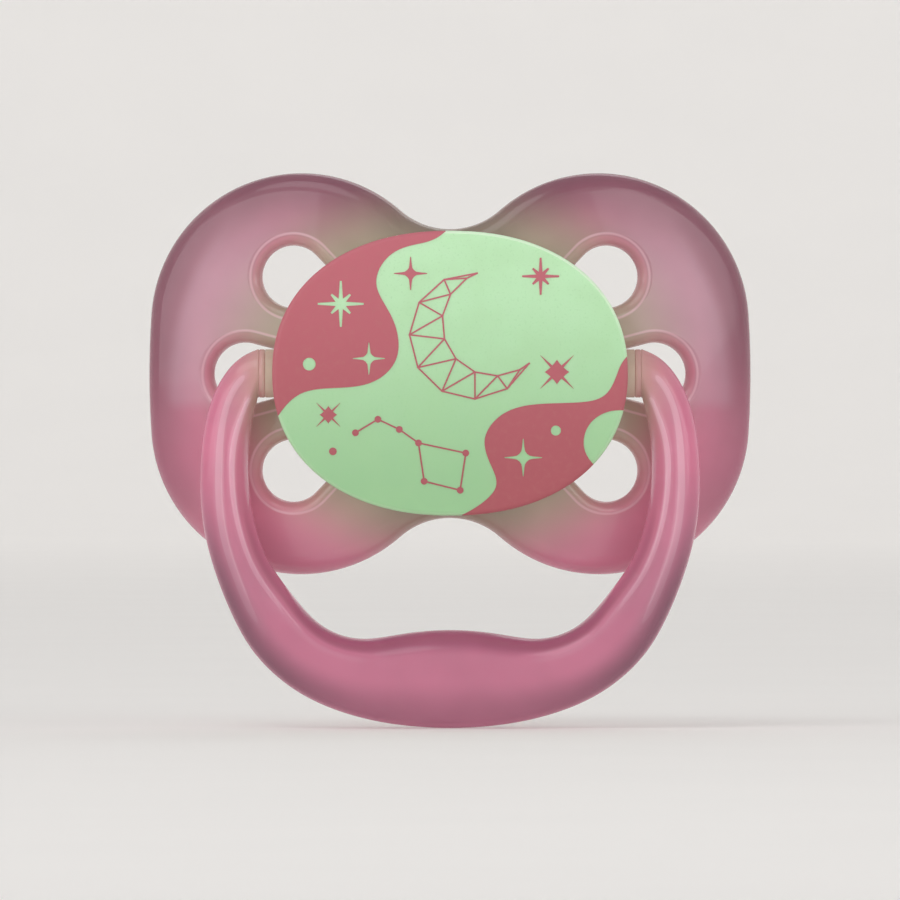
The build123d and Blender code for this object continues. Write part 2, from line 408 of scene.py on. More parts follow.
def shield_body_color(nodes, towards_back):
    """Deeper pink below, greyer above, with painted light on the two low lobes where the ring shades
    them. The sides carry a painted reflection: paler, most of all in front, down to a level line and
    out to a wide arc."""
    z = nodes.place()[2]
    from_middle_x = nodes.from_middle()[0]
    arc_x, arc_z, arc_r = -2.6, -2.2, 27.8
    across, above = nodes.math("SUBTRACT", from_middle_x, arc_x), nodes.math("SUBTRACT", z, arc_z)
    # Painted reflection of a light panel on the shield's sides.
    painted_side_reflection = nodes.product(
        nodes.ramp(from_middle_x, 12.0, 18.0),
        nodes.ramp(z, -3.6, -2.0),
        nodes.ramp(z, 16.0, 8.0),
        nodes.ramp(nodes.length(across, above), arc_r + 0.8, arc_r - 0.8),
        nodes.ramp(towards_back, 0.4, -0.4, 0.15, 0.5),
    )
    color = nodes.mix(nodes.ramp(z, -9.0, 6.0), SHIELD_LOWER, SHIELD_UPPER)
    # Painted light: the low lobes are lightened where the ring shades them.
    color = nodes.mix(nodes.ramp(z, -8.0, -13.0), color, SHIELD_LOW_LOBES_LIT)
    return nodes.mix(painted_side_reflection, color, SHIELD_SIDE_REFLECTION)


def shield_pink():
    """The shield: painted light in bright pink on the holes' lips with a painted highlight line round
    them, a painted tint of the button's glow in front, painted light on the pivot bosses and painted
    shade towards its rim."""
    nodes = Nodes("shield_pink")
    _, y, z = nodes.place()
    towards_back = nodes.facing()[1]
    on_shell = nodes.ramp(y, BOSS_BACK_Y, SHELL_FRONT_Y)
    from_hole = hole_distance(nodes)

    # Painted light: a brighter pink on the holes' rounded lips.
    painted_lip_light = nodes.product(
        nodes.ramp(from_hole, LIP_WIDTH + 0.1, LIP_WIDTH - 0.3),
        nodes.ramp(towards_back, 0.95, 0.3, 0.2, 0.45),
        on_shell,
    )
    color = nodes.mix(painted_lip_light, shield_body_color(nodes, towards_back), HOLE_LIP_LIGHT)

    # Painted light: the button's glow spilling onto the shield in front.
    glow = nodes.product(glow_spill_reach(nodes, 0.98, 1.5), nodes.ramp(towards_back, 0.4, -0.4, 0.25, 0.93))
    color = nodes.mix(glow, color, SHIELD_GLOW_SPILL)

    # Painted highlight: a thin light line at each lip's outer edge.
    painted_lip_highlight = nodes.product(
        nodes.ramp(from_hole, LIP_WIDTH - 0.1, LIP_WIDTH + 0.05),
        nodes.ramp(from_hole, LIP_WIDTH + 0.25, LIP_WIDTH + 0.1),
        nodes.ramp(towards_back, 0.2, -0.2, 0.0, 0.5),
        on_shell,
    )
    color = nodes.mix(painted_lip_highlight, color, LIP_HIGHLIGHT)

    # Painted light: the pivot bosses drawn paler against the shade round them.
    on_boss = nodes.ramp(nodes.from_middle()[0], 12.0, 13.5, 0.0, 0.6)
    on_boss = nodes.product(on_boss, nodes.math("SUBTRACT", 1.0, on_shell))
    color = nodes.mix(on_boss, color, PIVOT_BOSS_LIT)

    # Painted shade: darker towards the shield's rim, more above than below.
    painted_rim_shade = nodes.ramp(edge_distance(nodes), 4.8, 0.0)
    painted_rim_shade = nodes.product(painted_rim_shade, nodes.ramp(z, -17.0, -9.0, 0.14, 0.4))
    return pink_plastic(nodes, color, 0.2, 0.18, nodes.math("SUBTRACT", 1.0, painted_rim_shade))


def ring_pink():
    """The ring: stronger pink, with painted highlights on its two ridges, painted shade deepest on the
    bevel over the grip and along the outside of its lower half, and a painted tint of the button's
    glow near the hub."""
    nodes = Nodes("ring_pink")
    light_and_shade = nodes.attribute("light_and_shade")
    outwards = nodes.attribute("outwards")
    z = nodes.place()[2]
    low = nodes.ramp(z, -6.0, -21.0)

    # Painted light: the button's glow spilling onto the ring near the hub.
    glow = nodes.product(glow_spill_reach(nodes, 0.98, 1.36), 0.8)
    color = nodes.mix(glow, RING_ARM, RING_GLOW_SPILL)
    # Painted highlights on the two ridges, then painted shade on the bevel over the grip.
    color = nodes.mix(nodes.ramp(light_and_shade, 0.15, 0.9, 0.0, 0.45), color, RING_RIDGE_HIGHLIGHT)
    color = nodes.mix(nodes.ramp(light_and_shade, 0.6, 0.7, 0.0, 0.32), color, RING_CREST_HIGHLIGHT)
    color = nodes.mix(nodes.ramp(light_and_shade, 0.0, -0.9), color, RING_BEVEL_SHADE)
    color = nodes.mix(nodes.product(low, 0.5), color, RING_GRIP)
    # Painted shade: the outside of the ring's lower half darkened, as if lit from above.
    painted_outside_shade = nodes.product(
        nodes.ramp(outwards, 0.0, 0.85, 0.0, 0.9),
        nodes.ramp(outwards, 0.88, 1.0, 1.0, 0.5),
        nodes.ramp(z, -32.0, -26.0, 0.45, 1.0),
        low,
    )
    color = nodes.mix(painted_outside_shade, color, RING_OUTSIDE_SHADE)
    return pink_plastic(nodes, color, 0.2, 0.16)


def glow_plastic():
    """The button: pale green glow-in-the-dark plastic, painted lighter towards the top as if lit from
    above, finely speckled, with a painted highlight on its rounded edge, strongest at the top."""
    nodes = Nodes("glow_green")
    # Painted light: lighter towards the top, as if lit from above.
    height = nodes.ramp(nodes.place()[2], COVER_LOW.z, COVER_HIGH.z)
    color = nodes.mix(height, srgb(156, 202, 152), srgb(198, 240, 196))
    specks = nodes.ramp(nodes.noise(0.22, 1.0), 0.55, 0.75, 0.0, 0.22)
    color = nodes.mix(specks, color, srgb(150, 206, 150))
    clouds = nodes.ramp(nodes.noise(4.0, 3.0), 0.35, 0.7, 0.0, 0.2)
    color = nodes.mix(clouds, color, srgb(170, 212, 158))
    _, towards_back, upwards = nodes.facing()
    # Painted highlight on the button's rounded edge, strongest where it faces up.
    painted_rim_highlight = nodes.product(
        nodes.ramp(towards_back, -0.98, -0.85),
        nodes.ramp(towards_back, -0.2, -0.45),
        nodes.ramp(upwards, 0.05, 0.4, 0.15, 0.8),
    )
    color = nodes.mix(painted_rim_highlight, color, srgb(228, 254, 222))
    nodes.set(
        base_color=color,
        roughness=nodes.ramp(nodes.noise(3.0, 3.0), 0.3, 0.7, 0.34, 0.46),
        subsurface_weight=0.2,
        subsurface_radius=(0.6, 1.0, 0.6),
        subsurface_scale=1.0 * MM,
        emission_color=color,
        emission_strength=0.08,
    )
    nodes.bump(nodes.noise(0.3, 2.0), 0.1, 0.02)
    return nodes.material


def ink():
    """Dusky pink pad-printed ink, painted lighter towards the top as if lit from above: a little
    thinner in places, so the glow shows through.
    """
    nodes = Nodes("print_ink")
    # Painted light: the ink is lighter towards the top.
    height = nodes.ramp(nodes.place()[2], COVER_LOW.z, COVER_HIGH.z)
    color = nodes.mix(height, srgb(174, 88, 97), srgb(198, 107, 120))
    thin = nodes.ramp(nodes.noise(0.6, 3.0), 0.45, 0.8, 0.0, 0.18)
    color = nodes.mix(thin, color, srgb(186, 122, 118))
    nodes.set(
        base_color=color,
        roughness=nodes.ramp(nodes.noise(1.5, 3.0), 0.3, 0.7, 0.38, 0.5),
        emission_color=color,
        emission_strength=0.05,
    )
    nodes.bump(nodes.noise(0.15, 2.0), 0.15, 0.01)
    return nodes.material


def silicone():
    """Clear soft silicone: seen through face-on and denser edge-on, faintly milky and glossy."""
    nodes = Nodes("silicone")
    clouds = nodes.ramp(nodes.noise(6.0, 2.0), 0.3, 0.7)
    color = nodes.mix(clouds, srgb(240, 237, 228), srgb(230, 229, 222))
    nodes.set(
        base_color=color,
        roughness=nodes.ramp(nodes.noise(3.0, 2.0), 0.3, 0.7, 0.10, 0.16),
        specular_ior_level=1.0,
        alpha=nodes.ramp(nodes.turned_away(), 0.15, 0.95, 0.34, 0.95),
    )
    nodes.bump(nodes.noise(2.0, 1.0), 0.05, 0.05)
    return nodes.material


def white_plastic():
    """The plug inside: plain white moulded plastic with a fine spark-eroded texture."""
    nodes = Nodes("plug_white")
    clouds = nodes.ramp(nodes.noise(3.0, 2.0), 0.3, 0.7)
    nodes.set(
        base_color=nodes.mix(clouds, srgb(226, 226, 222), srgb(212, 212, 210)),
        roughness=nodes.ramp(nodes.noise(1.0, 2.0), 0.3, 0.7, 0.42, 0.55),
    )
    nodes.bump(nodes.noise(0.12, 1.0), 0.2, 0.02)
    return nodes.material


SHIELD_PINK = shield_pink()
RING_PINK = ring_pink()
GLOW_GREEN = glow_plastic()
PRINT_INK = ink()
SILICONE = silicone()
PLUG_WHITE = white_plastic()

# ---------------------------------------------------------------- CAD nodes that stay

for node, material in (
    ("shield", SHIELD_PINK),
    ("button_cover", GLOW_GREEN),
    ("nipple_plug", PLUG_WHITE),
):
    mesh = frame["nodes"][node].data
    mesh.materials.clear()
    mesh.materials.append(material)

# ---------------------------------------------------------------- ring handle

HUB_R = 2.15
HUB_END_X = 16.47
HUB_STEP_X = 17.0
ARM_START_X = HUB_STEP_X + 0.12
PIN_R = 1.3
PIN_END_X = 13.45
# The ridges and the grip's crown rise a little past this half depth.
RING_HALF_DEPTH = (RING_HIGH.y - RING_LOW.y) / 2 - 0.05
RING_HALF_WIDTH = RING_HIGH.x
RING_BOTTOM_Z = RING_LOW.z
GRIP_TOP_Z = -22.85
GRIP_START_Z = -18.0
# How far the hub takes to turn into the arm, and the arm into the grip.
HUB_BLEND = 2.4
GRIP_BLEND = 5.4
GRIP_HALF_WIDTH = (GRIP_TOP_Z - RING_BOTTOM_Z) / 2
SECTION_POINTS = 26
SECTION_SPANS = 5
STATIONS_PER_SPAN = 10

# Points on the ring's outer and inner edge that face each other, from the right hub to the
# bottom, as (x, z) pairs.
RING_PAIRS = [
    ((ARM_START_X, HUB_R), (ARM_START_X, -HUB_R)),
    ((18.3, 1.62), (17.35, -3.1)),
    ((19.9, 0.15), (17.65, -4.5)),
    ((21.6, -3.5), (17.88, -6.3)),
    ((RING_HALF_WIDTH, -8.5), (17.95, -9.0)),
    ((22.15, -12.2), (17.6, -12.4)),
    ((21.4, -16.2), (16.6, -15.8)),
    ((19.2, -22.0), (14.6, -19.0)),
    ((16.6, -25.9), (12.0, -22.0)),
    ((13.2, -28.6), (9.7, -23.3)),
    ((8.6, -30.5), (7.0, -23.6)),
    ((4.3, -31.35), (3.6, -23.1)),
    ((0.0, RING_BOTTOM_Z), (0.0, GRIP_TOP_Z)),
]


def hub_section(half_width):
    """Control points round an oval as deep as the hub: a circle where the ring meets the hub."""
    swell = 3 / (2 + math.cos(2 * math.pi / SECTION_POINTS))
    turns = [2 * math.pi * i / SECTION_POINTS for i in range(SECTION_POINTS)]
    oval = [(half_width * math.cos(t), -HUB_R * math.sin(t), 0.0, math.cos(t)) for t in turns]
    return np.array(oval) * (swell, swell, 1, 1)


def ring_section(half_width, front, unit=1.0):
    """Control points round the ring's section, from the outer side over the front, as
    (across, depth, painted light and shade, outwards). The outside is +across and the front is
    -depth; the painted light and shade is 1 for the painted highlight on the ridges and -1 for the
    painted shade on the bevel; outwards is 1 outside and -1 inside. A front point is (distance from
    the outer edge if positive, from the inner edge if negative, depth share, painted light and
    shade)."""
    a, b = half_width, RING_HALF_DEPTH
    controls = [(a, 0.0, 0.0)]
    for inset, share, light_and_shade in front:
        controls.append(((a if inset >= 0 else -a) - inset * unit, -share * b, light_and_shade))
    controls.append((-a, 0.0, front[-1][2]))
    back = [(-a, 0.4), (-a + 0.1, 0.64), (-a + 0.35, 0.86)]
    back += [(-a + 0.9, 1.0), (-0.4 * a, 1.0), (-0.15 * a, 1.0)]
    controls += [(u, share * b, 0.0) for u, share in back]
    controls += [(-u, share * b, 0.0) for u, share in reversed(back)]
    return np.array([(*control, control[0] / a) for control in controls])


# Front points hold painted light and shade in their last place: painted highlights on the arms' ridges,
# painted shade on the grip's bevel.
ARM_FRONT = (
    (0.0, 0.42, 0.0),
    (0.3, 0.74, 0.0),
    (0.8, 0.93, 0.0),
    (1.25, 1.03, 0.4),
    (1.55, 1.05, 1.0),
    (1.9, 1.03, 0.8),
    (2.2, 0.94, 0.4),
    (-1.9, 0.94, 0.4),
    (-1.68, 1.04, 0.7),
    (-1.38, 1.04, 1.1),
    (-0.95, 0.88, 0.1),
    (-0.3, 0.55, 0.1),
)
GRIP_FRONT = (
    (0.0, 0.36, 0.0),
    (0.35, 0.68, 0.0),
    (1.1, 0.90, 0.0),
    (2.0, 1.01, 0.0),
    (2.9, 1.07, 0.0),
    (3.8, 1.10, 0.0),
    (-4.0, 1.11, 0.0),
    (-3.1, 1.09, 0.0),
    (-2.3, 1.03, 0.0),
    (-1.6, 0.90, -0.55),
    (-0.95, 0.68, -0.95),
    (-0.3, 0.38, -1.0),
)
# Where the painted light and shade stands in a control point.
LIGHT_AND_SHADE_COLUMN = 2
# The arms' last two front points, on the inner flank, take a deeper painted shade further down.
ARM_FLANK = slice(11, 13)
FLANK_START_Z = -7.0
FLANK_BLEND = 9.0
# The grip's front point, counted from its outer edge, where the painted highlight of the arms' inner
# ridge runs out.
GRIP_HIGHLIGHT_STREAK = 9
STREAK_END_X = 5.5
STREAK_BLEND = 2.5


def section_at(xo, zo, xi, zi, half_width):
    """The ring's section between these outer and inner edge points, with the round hub, the
    ridged arm and the crowned grip blended into each other."""
    hub = 1 - smooth_step((abs(xo) - ARM_START_X) / HUB_BLEND) if zo > -1.0 else 0.0
    grip = smooth_step((GRIP_START_Z - zi) / GRIP_BLEND)
    arm_controls = ring_section(half_width, ARM_FRONT)
    arm_controls[ARM_FLANK, LIGHT_AND_SHADE_COLUMN] -= 0.6 * smooth_step((FLANK_START_Z - zi) / FLANK_BLEND)
    grip_controls = ring_section(half_width, GRIP_FRONT, half_width / GRIP_HALF_WIDTH)
    grip_controls[GRIP_HIGHLIGHT_STREAK, LIGHT_AND_SHADE_COLUMN] = 0.9 * smooth_step((abs(xi) - STREAK_END_X) / STREAK_BLEND)
    controls = arm_controls * (1 - grip) + grip_controls * grip
    controls = controls * (1 - hub) + hub_section(half_width) * hub
    return closed_b_spline(controls, SECTION_SPANS)


def hub_end(first_ring, side):
    """Rings from the sweep's end to the pin's tip: the hub with a fine step line and a flat end
    with a rounded edge, then the chamfered pin."""
    spokes = first_ring - np.array((first_ring[0][0], PIVOT_Y, 0))
    spokes[:, 0] = 0
    spokes /= np.linalg.norm(spokes, axis=1)[:, None]
    profile = [
        (HUB_STEP_X + 0.05, HUB_R),
        (HUB_STEP_X + 0.02, HUB_R - 0.07),
        (HUB_STEP_X - 0.02, HUB_R - 0.07),
        (HUB_STEP_X - 0.05, HUB_R),
        (HUB_END_X + 0.1, HUB_R),
        (HUB_END_X + 0.03, HUB_R - 0.04),
        (HUB_END_X, HUB_R - 0.12),
        (HUB_END_X, PIN_R + 0.05),
        (HUB_END_X - 0.01, PIN_R + 0.01),
        (HUB_END_X - 0.05, PIN_R),
        (PIN_END_X + 0.3, PIN_R),
        (PIN_END_X + 0.25, PIN_R - 0.03),
        (PIN_END_X + 0.02, PIN_R - 0.27),
        (PIN_END_X, PIN_R - 0.33),
    ]
    return [np.array((side * x, PIVOT_Y, 0)) + spokes * r for x, r in profile]


def build_ring():
    """The U-shaped ring swept from hub to hub: two soft ridges on the arms, a crowned grip."""
    pairs = RING_PAIRS + [((-xo, zo), (-xi, zi)) for (xo, zo), (xi, zi) in RING_PAIRS[-2::-1]]
    path = natural_spline([outer + inner for outer, inner in pairs], STATIONS_PER_SPAN)
    points = []
    marks = []
    for xo, zo, xi, zi in path:
        outer, inner = np.array((xo, 0, zo)), np.array((xi, 0, zi))
        middle, across = (outer + inner) / 2, outer - inner
        half_width = np.linalg.norm(across) / 2
        across /= 2 * half_width
        for u, v, light_and_shade, outwards in section_at(xo, zo, xi, zi, half_width):
            points.append(middle + across * u + np.array((0, PIVOT_Y + v, 0)))
            marks.append((light_and_shade, outwards))
    count = SECTION_POINTS * SECTION_SPANS
    sweep = np.array(points).reshape(-1, count, 3)
    start = hub_end(sweep[0], 1)[::-1]
    finish = hub_end(sweep[-1], -1)
    rings = start + list(sweep) + finish
    tips = [(PIN_END_X, PIVOT_Y, 0), (-PIN_END_X, PIVOT_Y, 0)]
    points = np.concatenate(rings + [tips])
    faces = ring_faces(len(rings), count, close_start=True, close_end=True)
    ring = new_piece("ring_handle_shell", points, faces, "ring", RING_PINK)
    first = len(start) * count
    for column, name in enumerate(("light_and_shade", "outwards")):
        values = np.zeros(len(points))
        values[first : first + len(marks)] = np.array(marks)[:, column]
        ring.data.attributes.new(name, "FLOAT", "POINT").data.foreach_set("value", values)
    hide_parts("ring_handle")


build_ring()

# ---------------------------------------------------------------- printed pattern

# How far the ink stands above the button and reaches into it, and how wide its lines are.
INK_PROUD = 0.04
INK_SUNK = 0.03
INK_LINE = 0.14
# The button's front is an oval of this power, with extra points at these insets from its rim so
# that the ink bends smoothly over the rounded edge.
COVER_POWER = 2.2
RIM_INSETS = (0.04, 0.09, 0.16, 0.25, 0.4, 0.6)
# Well outside the button, where an inked field's outline is closed.
BEYOND = 22.0
# The needle stars' sharpness, and how wide their points are at least.
STAR_POWER = 0.43
NEEDLE = 0.16

# The curved edges of the two inked fields and of the lower one's clear bay. Places on the print
# are to the right of the button's middle and up from it.
UPPER_FIELD = [
    (0.6, 13.6),
    (-1.5, 11.85),
    (-3.4, 11.35),
    (-5.35, 10.45),
    (-6.55, 8.0),
    (-5.55, 5.7),
    (-4.65, 3.4),
    (-4.8, 1.2),
    (-6.4, -0.55),
    (-9.8, -1.3),
    (-13.3, -1.85),
    (-16.2, -5.4),
]
LOWER_FIELD = [
    (16.6, 2.3),
    (15.3, 0.95),
    (14.7, -0.45),
    (13.75, -1.95),
    (11.4, -2.6),
    (7.9, -2.75),
    (4.6, -3.7),
    (3.1, -5.8),
    (3.6, -8.1),
    (4.1, -10.0),
    (3.2, -11.25),
    (0.4, -12.9),
]
CLEAR_BAY = [
    (16.6, -3.4),
    (14.1, -3.42),
    (12.35, -4.6),
    (11.9, -6.6),
    (13.8, -9.1),
]


def polar(middle, reach, turn):
    """The point this far from the middle, in the direction of this turn."""
    return middle[0] + reach * math.cos(turn), middle[1] + reach * math.sin(turn)


def superellipse(half_width, half_height, power, steps, middle=(0, 0)):
    """Points round an oval: fuller than an ellipse above power 2, a star with points below 1."""
    points = []
    for step in range(steps):
        turn = 2 * math.pi * step / steps
        x, z = math.cos(turn), math.sin(turn)
        x = math.copysign(abs(x) ** (2 / power), x)
        z = math.copysign(abs(z) ** (2 / power), z)
        points.append((middle[0] + half_width * x, middle[1] + half_height * z))
    return points


def dot(middle, radius):
    """A round dot."""
    return superellipse(radius, radius, 2, 24, middle)


def needle_star(middle, reach):
    """A four-pointed star with a small curved core and thin tapering points."""
    points = []
    for x, z in superellipse(reach, reach, STAR_POWER, 48):
        least = NEEDLE * (1.2 - max(abs(x), abs(z)) / reach)
        if 1e-9 < abs(z) < least:
            z = math.copysign(least, z)
        if 1e-9 < abs(x) < least:
            x = math.copysign(least, x)
        points.append((middle[0] + x, middle[1] + z))
    return points


def ray_star(middle, long_reach, short_reach, core, half_width):
    """A star with eight blunt rays, long and short in turn."""
    points = []
    for ray in range(8):
        turn = math.pi / 4 * ray
        reach = short_reach if ray % 2 else long_reach
        for side in (-1, 1):
            tip_turn = turn + side * half_width / reach
            points.append(polar(middle, reach, tip_turn))
        points.append(polar(middle, core, turn + math.pi / 8))
    return points


def stroke(start, end, start_width=INK_LINE, end_width=INK_LINE):
    """A straight inked line as a thin quadrilateral."""
    start, end = np.array(start, float), np.array(end, float)
    along = (end - start) / np.linalg.norm(end - start)
    aside = np.array((-along[1], along[0]))
    over = along * INK_LINE / 3
    start_corners = [start - over - aside * start_width / 2, end + over - aside * end_width / 2]
    end_corners = [end + over + aside * end_width / 2, start - over + aside * start_width / 2]
    return [tuple(p) for p in start_corners + end_corners]


def diamond_star(middle, reach):
    """A diamond with four fine slanting rays."""
    shapes = [superellipse(reach, reach, 0.86, 24, middle)]
    for turn in (45, 135, 225, 315):
        ray = np.array((math.cos(math.radians(turn)), math.sin(math.radians(turn))))
        shapes.append(stroke(middle, middle + ray * reach * 1.85, reach * 0.34, 0.02))
    return shapes


def crescent_moon(middle, outer_r, inner_r, shift, opening, facets):
    """A faceted crescent in fine lines: its two edges as straight chains, joined by a zigzag. The
    inner circle's middle is shifted towards the opening."""
    tip = math.acos((outer_r**2 + shift**2 - inner_r**2) / (2 * outer_r * shift))
    inner_tip = math.acos((outer_r * math.cos(tip) - shift) / inner_r)
    inner_middle = polar(middle, shift, opening)
    outer = []
    inner = []
    for step in range(facets + 1):
        turn = opening + tip + (2 * math.pi - 2 * tip) * step / facets
        outer.append(polar(middle, outer_r, turn))
        turn = opening + inner_tip + (2 * math.pi - 2 * inner_tip) * (step + 0.5) / facets
        inner.append(polar(inner_middle, inner_r, turn))
    inner = [outer[0]] + inner[:-1] + [outer[-1]]
    shapes = [stroke(a, b) for a, b in zip(outer, outer[1:])]
    shapes += [stroke(a, b) for a, b in zip(inner, inner[1:])]
    for step in range(1, facets):
        shapes.append(stroke(outer[step], inner[step]))
        shapes.append(stroke(outer[step], inner[step + 1]))
    return shapes


def constellation(chain, loop, radius):
    """Dots joined by fine lines: an open chain that ends in a closed loop."""
    stops = chain + loop + loop[:1]
    return [stroke(a, b) for a, b in zip(stops, stops[1:])] + [dot(p, radius) for p in chain + loop]


def closed_curve(points, *corners):
    """A smooth curve through these points, closed by way of the corners."""
    return [tuple(p) for p in natural_spline(points, 8)] + list(corners)


def print_shapes():
    """The outlines of the inked fields, of what is left clear in them, and of the motifs."""
    upper_x, upper_z = UPPER_FIELD[0][0], UPPER_FIELD[-1][1]
    upper = closed_curve(UPPER_FIELD, (-BEYOND, upper_z), (-BEYOND, BEYOND), (upper_x, BEYOND))
    lower_x, lower_z = LOWER_FIELD[-1][0], LOWER_FIELD[0][1]
    lower = closed_curve(LOWER_FIELD, (lower_x, -BEYOND), (BEYOND, -BEYOND), (BEYOND, lower_z))
    clear = [
        closed_curve(CLEAR_BAY, (BEYOND, CLEAR_BAY[-1][1]), (BEYOND, CLEAR_BAY[0][1])),
        ray_star((-9.7, 6.15), 2.05, 1.2, 0.5, 0.09),
        needle_star((-7.2, 1.3), 1.45),
        dot((-12.5, 0.8), 0.57),
        dot((9.4, -5.1), 0.45),
        needle_star((6.5, -7.5), 1.7),
    ]
    motifs = [
        needle_star((-3.5, 8.85), 1.5),
        ray_star((8.05, 8.6), 1.65, 1.0, 0.42, 0.08),
        dot((-10.4, -6.95), 0.34),
    ]
    motifs += diamond_star((9.5, 0.1), 1.1)
    motifs += diamond_star((-10.8, -3.7), 0.78)
    motifs += crescent_moon(
        (2.0, 3.3), outer_r=5.6, inner_r=4.7, shift=2.3, opening=math.radians(30), facets=8
    )
    dipper_handle = [(-8.4, -5.3), (-6.4, -4.1), (-4.5, -5.0)]
    dipper_bowl = [(-2.8, -6.2), (-2.3, -9.6), (0.9, -10.4), (1.4, -7.1)]
    motifs += constellation(dipper_handle, dipper_bowl, 0.3)
    return [upper, lower], clear, motifs


def inside(points, outline):
    """Which of these points lie inside a closed outline."""
    outline = np.array(outline)
    x, z = points[:, 0, None], points[:, 1, None]
    x0, z0 = outline[:, 0], outline[:, 1]
    x1, z1 = np.roll(x0, -1), np.roll(z0, -1)
    crosses = (z0 > z) != (z1 > z)
    rise = np.where(z1 == z0, 1.0, z1 - z0)
    left_of = x < x0 + (z - z0) * (x1 - x0) / rise
    return (crosses & left_of).sum(axis=1) % 2 == 1


def inked_triangles():
    """The flat pattern's points and the triangles of it that are inked, seen from the front."""
    fields, clear, motifs = print_shapes()
    sizes = [(COVER_HIGH.x - inset, COVER_HIGH.z - inset) for inset in RIM_INSETS]
    rims = [superellipse(width, height, COVER_POWER, 180) for width, height in sizes]
    corners = []
    edges = []
    for outline in fields + clear + motifs + rims:
        first = len(corners)
        count = len(outline)
        corners += [Vector(p) for p in outline]
        edges += [(first + i, first + (i + 1) % count) for i in range(count)]
    flat, _, triangles = delaunay_2d_cdt(corners, edges, [], 0, 1e-4)[:3]
    flat = np.array([tuple(p) for p in flat])
    triangles = np.array([tuple(t) for t in triangles])

    middles = flat[triangles].mean(axis=1)
    inked = np.zeros(len(middles), bool)
    for outline in fields:
        inked |= inside(middles, outline)
    for outline in clear:
        inked &= ~inside(middles, outline)
    for outline in motifs:
        inked |= inside(middles, outline)
    inked &= inside(middles, rims[0])
    used, triangles = np.unique(triangles[inked], return_inverse=True)
    return flat[used], triangles.reshape(-1, 3)


def build_print():
    """The ink as one thin closed layer that lies on the button and bends over its rounded edge."""
    flat, triangles = inked_triangles()
    cover = BVHTree.FromObject(frame["nodes"]["button_cover"], bpy.context.evaluated_depsgraph_get())
    proud = []
    sunk = []
    for x, z in flat:
        in_front = Vector((x, COVER_LOW.y - 5.0, z)) * MM
        place, normal, _, _ = cover.ray_cast(in_front, Vector((0, 1, 0)))
        proud.append(place / MM + normal * INK_PROUD)
        sunk.append(place / MM - normal * INK_SUNK)
    count = len(flat)
    faces = [tuple(t) for t in triangles]
    pairs = {(t[i], t[(i + 1) % 3]) for t in faces for i in range(3)}
    faces += [(c + count, b + count, a + count) for a, b, c in triangles]
    faces += [(b, a, a + count, b + count) for a, b in sorted(pairs) if (b, a) not in pairs]
    layer = new_piece("button_print", proud + sunk, faces, "pacifier", PRINT_INK)
    layer.data.set_sharp_from_angle(angle=math.radians(40))


build_print()

# ---------------------------------------------------------------- nipple


FLANGE_R = 6.47
FLANGE_DEPTH = 1.24
NECK_R = 4.6
NECK_END_Y = 9.6
NIPPLE_WALL = 1.3
TIP_START_Y = 28.0
TIP_DEPTH = 6.0
# The bulb's outline from the neck to just short of its tip: depth, half width and half height.
BULB = [
    (NECK_END_Y, NECK_R, NECK_R),
    (13.1, 4.7, 4.45),
    (17.1, 5.6, 4.8),
    (22.1, 7.4, 5.9),
    (26.6, 8.0, 6.4),
    (30.1, 7.5, 5.9),
    (32.7, 5.95, 4.6),
    (34.1, 4.0, 3.05),
    (34.62, 1.9, 1.45),
    (NIPPLE_HIGH.y, 0.25, 0.2),
]


def build_nipple():
    """The hollow nipple: flange, neck and a bulb flatter from top to bottom than across."""
    front_y = NIPPLE_LOW.y
    flange_back_y = front_y + FLANGE_DEPTH
    inner_r = NECK_R - NIPPLE_WALL
    bulb = natural_spline(BULB, 6)
    # Inside, the wall is measured sideways along the bulb and lengthwise at its tip.
    inner_bulb = [
        (
            y - NIPPLE_WALL * smooth_step((y - TIP_START_Y) / TIP_DEPTH),
            max(half_width - NIPPLE_WALL, 0.15),
            max(half_height - NIPPLE_WALL, 0.12),
        )
        for y, half_width, half_height in bulb
    ]
    round_part = [
        (flange_back_y, inner_r),
        (front_y + 0.1, inner_r),
        (front_y, inner_r + 0.1),
        (front_y, FLANGE_R - 0.2),
        (front_y + 0.2, FLANGE_R),
        (flange_back_y - 0.2, FLANGE_R),
        (flange_back_y, FLANGE_R - 0.2),
        (flange_back_y, NECK_R + 0.1),
        (flange_back_y + 0.3, NECK_R),
        (NECK_END_Y, NECK_R),
    ]
    rings = inner_bulb[::-1] + [(y, r, r) for y, r in round_part] + [tuple(p) for p in bulb[1:]]
    count = 96
    points = []
    for y, half_width, half_height in rings:
        for turn in np.linspace(0, 2 * math.pi, count, endpoint=False):
            points.append((half_width * math.cos(turn), y, half_height * math.sin(turn)))
    points += [(0, rings[0][0], 0), (0, rings[-1][0], 0)]
    # The rings run inwards to outwards here, so the faces are turned round to look out.
    faces = [face[::-1] for face in ring_faces(len(rings), count, close_start=True, close_end=True)]
    nipple = new_piece("nipple_soft", points, faces, "pacifier", SILICONE)
    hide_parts("nipple")


build_nipple()

# ---------------------------------------------------------------- stage, light and camera


def matt(name, color, glow):
    """A matt studio paper, lifted a little so that it stays pale far from the lights."""
    nodes = Nodes(name)
    grain = nodes.ramp(nodes.noise(40.0, 2.0), 0.3, 0.7, 0.0, 0.04)
    color = nodes.mix(grain, color, srgb(200, 200, 200))
    nodes.set(base_color=color, roughness=0.85, emission_color=color, emission_strength=glow)
    return nodes.material


